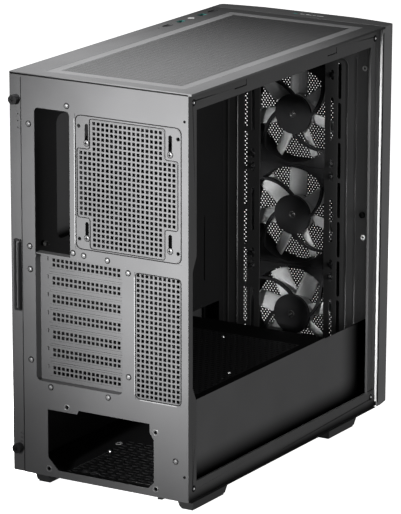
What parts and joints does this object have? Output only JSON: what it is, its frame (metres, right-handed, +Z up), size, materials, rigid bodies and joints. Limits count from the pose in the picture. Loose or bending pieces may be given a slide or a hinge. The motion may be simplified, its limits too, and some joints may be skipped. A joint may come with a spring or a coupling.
{
  "type": "desktop computer tower",
  "caption": "Open mid-tower computer case with fans, slot covers, power supply shroud, dust filters, buttons and a sliding side panel.",
  "frame": {"origin": "on the floor under the middle of the tower's bounding box", "axes": "+Z up, +Y out of the rear wall, -X out of the open window side"},
  "size_m": [0.23, 0.464, 0.471],
  "materials": {
    "painted_steel": "dark grey fine-textured powder coat",
    "inner_steel": "black powder coat",
    "black_plastic": "matt black moulded plastic",
    "filter_plastic": "matt grey moulded plastic",
    "mesh_steel": "fine perforated steel, black",
    "filter_mesh": "fine dark grey nylon mesh",
    "blade_plastic": "translucent frosted white plastic",
    "strip_plastic": "white light strip",
    "zinc_steel": "zinc-plated steel",
    "brass_part": "turned brass",
    "rubber_black": "black moulded plastic with a soft pad",
    "port_parts": "steel shell with a blue-green tongue",
    "jack_white": "white plastic ring"
  },
  "bodies": {
    "chassis": {"rear_panel": "painted_steel", "rear_fan_grille": "painted_steel", "rear_vent_grille": "painted_steel", "slot_frame": "painted_steel", "slot_cover_1": "painted_steel", "slot_cover_2": "painted_steel", "slot_cover_3": "painted_steel", "slot_cover_4": "painted_steel", "slot_cover_5": "painted_steel", "slot_cover_6": "painted_steel", "slot_cover_7": "painted_steel", "slot_screws": "zinc_steel", "bottom_panel": "inner_steel", "bottom_vent": "inner_steel", "filter_rails": "inner_steel", "top_panel": "inner_steel", "top_cover": "painted_steel", "window_frame": "painted_steel", "right_frame": "inner_steel", "front_frame": "inner_steel", "front_plate": "inner_steel", "motherboard_tray": "inner_steel", "standoffs": "brass_part", "psu_shroud": "inner_steel", "shroud_vent": "inner_steel", "drive_cage": "inner_steel", "rivets": "painted_steel", "feet": "rubber_black", "glass_sockets": "black_plastic", "io_board": "black_plastic", "usb_ports": "port_parts", "audio_jack": "jack_white", "fan_screws": "zinc_steel", "fan_frame_1": "black_plastic", "fan_frame_2": "black_plastic", "fan_frame_3": "black_plastic", "fan_frame_rear": "black_plastic", "fan_hub_1": "black_plastic", "fan_hub_2": "black_plastic", "fan_hub_3": "black_plastic", "fan_hub_rear": "black_plastic"},
    "side_panel": {"side_panel": "painted_steel", "panel_handle": "black_plastic"},
    "knob_top": {"thumbscrew_top": "black_plastic"},
    "knob_bottom": {"thumbscrew_bottom": "black_plastic"},
    "top_filter": {"top_filter_frame": "filter_plastic", "top_filter_mesh": "filter_mesh"},
    "bottom_filter": {"bottom_filter_frame": "black_plastic", "bottom_filter_mesh": "filter_mesh"},
    "front_panel": {"front_panel": "painted_steel", "front_mesh": "mesh_steel", "trim_strip": "strip_plastic"},
    "drive_tray_1": {"drive_tray_1": "black_plastic"},
    "drive_tray_2": {"drive_tray_2": "black_plastic"},
    "power_button": {"power_button": "black_plastic"},
    "reset_button": {"reset_button": "black_plastic"},
    "rotor_1": {"fan_rotor_1": "blade_plastic"},
    "rotor_2": {"fan_rotor_2": "blade_plastic"},
    "rotor_3": {"fan_rotor_3": "blade_plastic"},
    "rotor_rear": {"fan_rotor_rear": "blade_plastic"}
  },
  "joints": [
    {"name": "side_panel_slide", "type": "slide", "parent": "chassis", "child": "side_panel", "axis": [0, 1, 0], "range_m": [0, 0.03]},
    {"name": "knob_top_turn", "type": "hinge", "parent": "side_panel", "child": "knob_top", "pos_m": [0.1064, 0.228, 0.4414], "axis": [0, 1, 0], "continuous": true},
    {"name": "knob_bottom_turn", "type": "hinge", "parent": "side_panel", "child": "knob_bottom", "pos_m": [0.1064, 0.228, 0.048], "axis": [0, 1, 0], "continuous": true},
    {"name": "top_filter_lift", "type": "slide", "parent": "chassis", "child": "top_filter", "axis": [0, 0, 1], "range_m": [0, 0.08]},
    {"name": "bottom_filter_pull", "type": "slide", "parent": "chassis", "child": "bottom_filter", "axis": [0, 1, 0], "range_m": [0, 0.165]},
    {"name": "front_panel_pull", "type": "slide", "parent": "chassis", "child": "front_panel", "axis": [0, -1, 0], "range_m": [0, 0.06]},
    {"name": "drive_tray_1_pull", "type": "slide", "parent": "chassis", "child": "drive_tray_1", "axis": [1, 0, 0], "range_m": [0, 0.055]},
    {"name": "drive_tray_2_pull", "type": "slide", "parent": "chassis", "child": "drive_tray_2", "axis": [1, 0, 0], "range_m": [0, 0.055]},
    {"name": "power_button_press", "type": "slide", "parent": "chassis", "child": "power_button", "axis": [0, 0, -1], "range_m": [0, 0.0012], "stiffness_N_per_m": 400},
    {"name": "reset_button_press", "type": "slide", "parent": "chassis", "child": "reset_button", "axis": [0, 0, -1], "range_m": [0, 0.0012], "stiffness_N_per_m": 400},
    {"name": "fan_1_spin", "type": "hinge", "parent": "chassis", "child": "rotor_1", "pos_m": [-0.005, -0.192, 0.3596], "axis": [0, 1, 0], "continuous": true},
    {"name": "fan_2_spin", "type": "hinge", "parent": "chassis", "child": "rotor_2", "pos_m": [-0.005, -0.192, 0.2396], "axis": [0, 1, 0], "continuous": true},
    {"name": "fan_3_spin", "type": "hinge", "parent": "chassis", "child": "rotor_3", "pos_m": [-0.005, -0.192, 0.1196], "axis": [0, 1, 0], "continuous": true},
    {"name": "fan_rear_spin", "type": "hinge", "parent": "chassis", "child": "rotor_rear", "pos_m": [-0.0362, 0.212, 0.3504], "axis": [0, 1, 0], "continuous": true}
  ]
}
